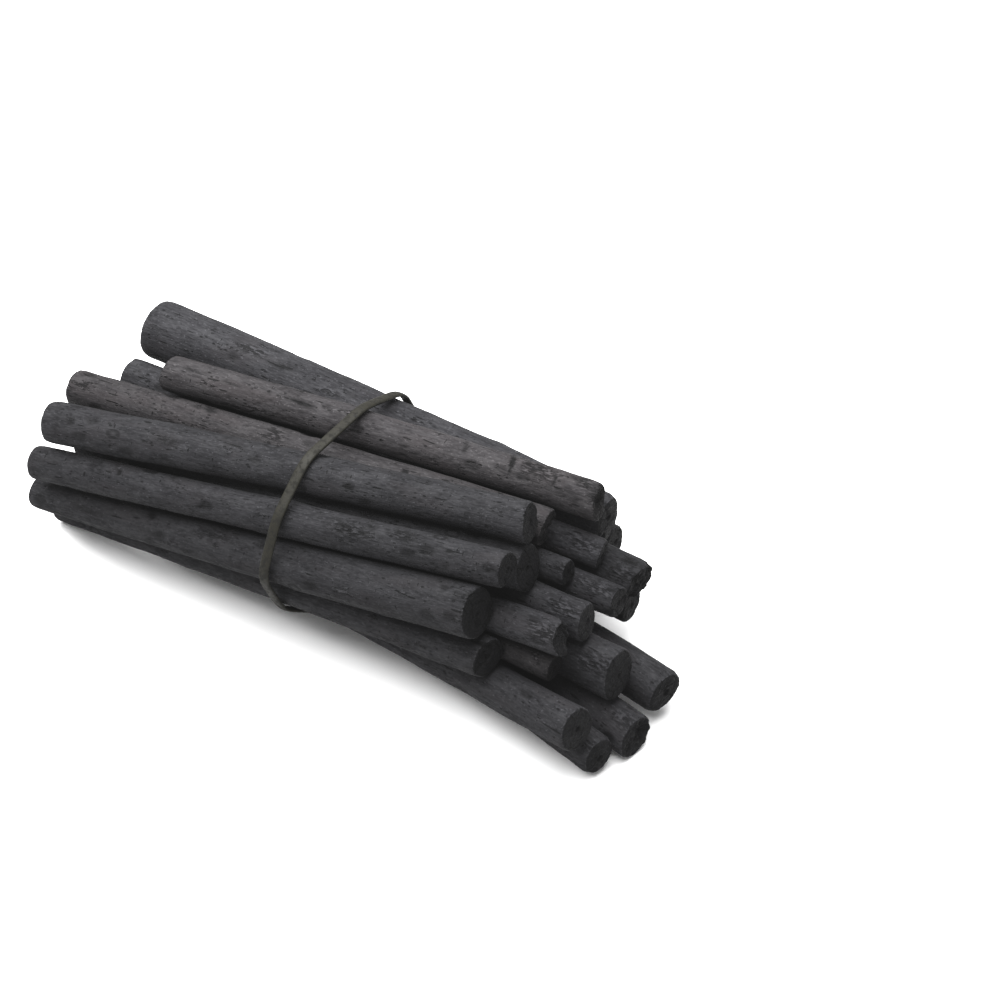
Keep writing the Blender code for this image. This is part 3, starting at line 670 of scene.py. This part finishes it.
def mark_stick(mesh, node, far, near):
    """Sinks the stick's single marks into its side, breaks the chips out of its near end, and keeps
    their painted shade and flaking."""
    count = len(mesh.vertices)
    places, outward = np.empty(3 * count), np.empty(3 * count)
    mesh.vertices.foreach_get("co", places)
    mesh.vertices.foreach_get("normal", outward)
    places, outward = places.reshape(-1, 3), outward.reshape(-1, 3)
    hollow, scar = np.empty(count), np.zeros(count)
    mesh.attributes["hollow"].data.foreach_get("value", hollow)

    # the pixels where the stick's points are seen, and the stick's directions in the photograph
    seen = (places - np.array(view_place)) @ np.array((right, above, back)).T
    spots = 0.5 * PHOTO_SIZE_PX + LENS_PX * seen[:, :2] * (1.0, -1.0) / -seen[:, 2:]
    faces_view = outward @ np.array(back) > 0.1
    ends = spots[places[:, 0].argmin()], spots[places[:, 0].argmax()]
    along = (ends[1] - ends[0]) / np.linalg.norm(ends[1] - ends[0])
    across = np.array((-along[1], along[0]))
    for marked, middle, half, mark_shade, flaking in MARKS:
        if marked != node:
            continue
        away = spots - middle
        weight = ragged_weight(away @ along, away @ across, half, MARK_FADE, MARK_RAGS, middle[0])
        weight *= faces_view
        # the mark's hollow is darkened as painted shade
        hollow = np.maximum(hollow, MARK_SHADE * mark_shade * weight)
        scar = np.maximum(scar, flaking * weight)
        places -= outward * (MARK_DEPTH * weight * (0.3 + 0.7 * min(mark_shade, 1.0)))[:, None]

    # the near end's directions; a chip draws the surface back along the stick
    forward = (near - far) / np.linalg.norm(near - far)
    side = np.cross(forward, (0.0, 0.0, 1.0))
    side /= np.linalg.norm(side)
    section = (places - near) @ np.array((side, np.cross(side, forward))).T
    behind = (near - places) @ forward
    end_share = np.clip((CHIP_REACH - behind) / (CHIP_REACH - CHIP_FULL), 0.0, 1.0)
    at_end = behind < CHIP_SHADE_REACH
    for chipped, middle, radius, depth in CHIPS:
        if chipped != node:
            continue
        apart = np.where(faces_view & at_end, np.linalg.norm(spots - middle, axis=1), np.inf)
        away = section - section[apart.argmin()]
        weight = ragged_weight(away[:, 0], away[:, 1], (radius * MM, radius * MM), CHIP_FADE,
                               CHIP_RAGS, middle[0])
        weight *= end_share
        # the chip's hollow near the end is darkened as painted shade
        hollow = np.maximum(hollow, weight * at_end)
        places -= forward * (depth * MM * weight)[:, None]
    mesh.vertices.foreach_set("co", places.ravel())
    mesh.attributes["hollow"].data.foreach_set("value", hollow)
    mesh.attributes.new("scar", "FLOAT", "POINT").data.foreach_set("value", scar)


for number in range(1, 26):
    node = f"stick_{number:02d}"
    tone, grain_depth, pitted_share, near_roughness = SINGLE_STICKS.get(node, USUAL_STICK)
    seed = SEED_STEP * number
    stick = welded_copy(node, f"charred_{node}")
    far, near, thickness = stick_axis(stick.data)
    wrap = stick.modifiers.new("charred surface", "NODES")
    wrap.node_group = twig_tree
    for name, value in (("Far End", tuple(far)), ("Near End", tuple(near)), ("Thickness", thickness),
                        ("Columns", STICK_COLUMNS), ("Rows", STICK_ROWS), ("Swell", SURFACE_SWELL),
                        ("Seed", seed), ("Grain Depth", grain_depth * MM), ("Pit Depth", PIT_DEPTH),
                        ("Pitted Share", pitted_share), ("Near Roughness", near_roughness * MM),
                        ("Far Roughness", FAR_ROUGHNESS),
                        ("Material", brown_charcoal if node in BROWN_STICKS else charcoal)):
        wrap[twig_socket(name)] = value
    mesh = plain_mesh(stick)
    mark_stick(mesh, node, far, near)
    # the stick's tone goes into its colour: partly its own, partly painted shade and painted light by
    # where it lies in the pile
    for name, value in (("seed", seed), ("tone", tone)):
        kept = mesh.attributes.new(name, "FLOAT", "POINT")
        kept.data.foreach_set("value", [value] * len(mesh.vertices))
    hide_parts(node)
    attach(stick, "root")


# The rubber band: a flat olive-brown loop cut from rubber tube, pulled taut round the middle of the
# bundle. It bridges straight from stick to stick, and charcoal dust dulls it.

BAND_COLOUR = (0.0112, 0.0103, 0.0064)
BAND_DUST = (0.0056, 0.0053, 0.0043)
BAND_SPECULAR = 0.2
DUST_SIZE = (1.4, 1.4, 1.4)
SKIN_SIZE = (0.35, 0.35, 0.35)
SKIN_BUMP = 0.1 * MM
BAND_ROUNDING = 2


def rubber_material():
    """Matte rubber with a fine skin, dulled by dust."""
    material = bpy.data.materials.new("rubber_band")
    material.use_nodes = True
    tree = material.node_tree
    shader = tree.nodes["Principled BSDF"]
    place = put(tree, "ShaderNodeTexCoord").outputs["Object"]
    grain = put(tree, "ShaderNodeGroup", node_tree=char_grain)
    tree.links.new(place, grain.inputs["Vector"])
    dust = grade(tree, grain_noise(tree, place, DUST_SIZE, 1, 4.0, 0.6), 0.42, 0.66)
    colour = mix_colour(tree, calculate(tree, "MULTIPLY", dust, 0.7), full_colour(BAND_COLOUR),
                        full_colour(BAND_DUST))
    soot_and_shade = calculate(tree, "MULTIPLY", grain.outputs["Dark"], 0.5)
    colour = mix_colour(tree, soot_and_shade, colour, full_colour(SOOT_AND_SHADE_BLACK))
    tree.links.new(colour, shader.inputs["Base Color"])
    tree.links.new(grade(tree, dust, 0.0, 1.0, 0.55, 0.8), shader.inputs["Roughness"])
    skin = grain_noise(tree, place, SKIN_SIZE, 2, 3.0, 0.6)
    bump = put(tree, "ShaderNodeBump", {"Strength": 0.35, "Distance": SKIN_BUMP, "Height": skin})
    tree.links.new(bump.outputs[0], shader.inputs["Normal"])
    shader.inputs["Specular IOR Level"].default_value = BAND_SPECULAR
    return material


band = welded_copy("rubber_band", "taut_rubber_band")
work = bmesh.new()
work.from_mesh(band.data)
bmesh.ops.join_triangles(work, faces=work.faces, angle_face_threshold=1.0, angle_shape_threshold=1.2)
work.to_mesh(band.data)
work.free()
rounding = band.modifiers.new("rounding", "SUBSURF")
rounding.levels = rounding.render_levels = BAND_ROUNDING
band.data.shade_smooth()
plain_mesh(band)
band.data.materials.clear()
band.data.materials.append(rubber_material())
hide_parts("rubber_band")
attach(band, "root")


# The surface that the bundle lies on: a plain pale sheet, which looks white from above and throws
# only half of the light back under the sticks.

SHEET_HALF = 6.0
SHEET_WHITE = (0.95, 0.95, 0.95, 1.0)
SHEET_BOUNCE = (0.50, 0.50, 0.50, 1.0)


def pale_sheet():
    """A wide level sheet, nearly white."""
    material = bpy.data.materials.new("pale_sheet")
    material.use_nodes = True
    tree = material.node_tree
    shader = tree.nodes["Principled BSDF"]
    shader.inputs["Base Color"].default_value = SHEET_WHITE
    shader.inputs["Roughness"].default_value = 0.9
    dim = put(tree, "ShaderNodeBsdfDiffuse", {"Color": SHEET_BOUNCE})
    seen = put(tree, "ShaderNodeLightPath").outputs["Is Camera Ray"]
    both = put(tree, "ShaderNodeMixShader", {"Fac": seen, 1: dim.outputs[0], 2: shader.outputs[0]})
    tree.links.new(both.outputs[0], tree.nodes["Material Output"].inputs["Surface"])
    mesh = bpy.data.meshes.new("pale_sheet")
    corners = [(x * SHEET_HALF, y * SHEET_HALF, 0.0) for x, y in ((-1, -1), (1, -1), (1, 1), (-1, 1))]
    mesh.from_pydata(corners, [], [(0, 1, 2, 3)])
    mesh.materials.append(material)
    sheet = bpy.data.objects.new("pale_sheet", mesh)
    bpy.context.scene.collection.objects.link(sheet)
    return sheet


pale_sheet()


# Soft studio light: a wide panel overhead and white surroundings. The photograph's slight haze
# lifts the darkest gaps.

PANEL_PLACE = (-0.22, -0.02, 0.95)
PANEL_TARGET = (0.0, 0.0, 0.02)
PANEL_WIDTH = 1.3
PANEL_POWER = 42.0
SURROUNDINGS_STRENGTH = 0.55
HAZE = 0.008

light = bpy.data.lights.new("overhead_panel", "AREA")
light.shape = "SQUARE"
light.size = PANEL_WIDTH
light.energy = PANEL_POWER
panel = bpy.data.objects.new("overhead_panel", light)
panel.location = PANEL_PLACE
aim = Vector(PANEL_TARGET) - Vector(PANEL_PLACE)
panel.rotation_euler = aim.to_track_quat("-Z", "Y").to_euler()
bpy.context.scene.collection.objects.link(panel)

surroundings = bpy.data.worlds.new("white_surroundings")
surroundings.use_nodes = True
background = surroundings.node_tree.nodes["Background"]
background.inputs["Color"].default_value = (1.0, 1.0, 1.0, 1.0)
background.inputs["Strength"].default_value = SURROUNDINGS_STRENGTH
bpy.context.scene.world = surroundings

colours = bpy.context.scene.view_settings
colours.view_transform = "Standard"
colours.use_curve_mapping = True
colours.curve_mapping.curves[3].points[0].location = (0.0, HAZE)
colours.curve_mapping.update()


# The camera, where the photograph was taken from, with a lens that gives the photograph's frame.

SENSOR_WIDTH = 36.0

camera_data = bpy.data.cameras.new("photograph_view")
camera_data.sensor_width = SENSOR_WIDTH
camera_data.lens = SENSOR_WIDTH * LENS_PX / PHOTO_SIZE_PX
camera_data.clip_start = 0.05
camera_data.clip_end = 20.0
camera = bpy.data.objects.new("photograph_view", camera_data)
camera.matrix_world = Matrix((right, above, back)).transposed().to_4x4()
camera.location = view_place
bpy.context.scene.collection.objects.link(camera)
bpy.context.scene.camera = camera
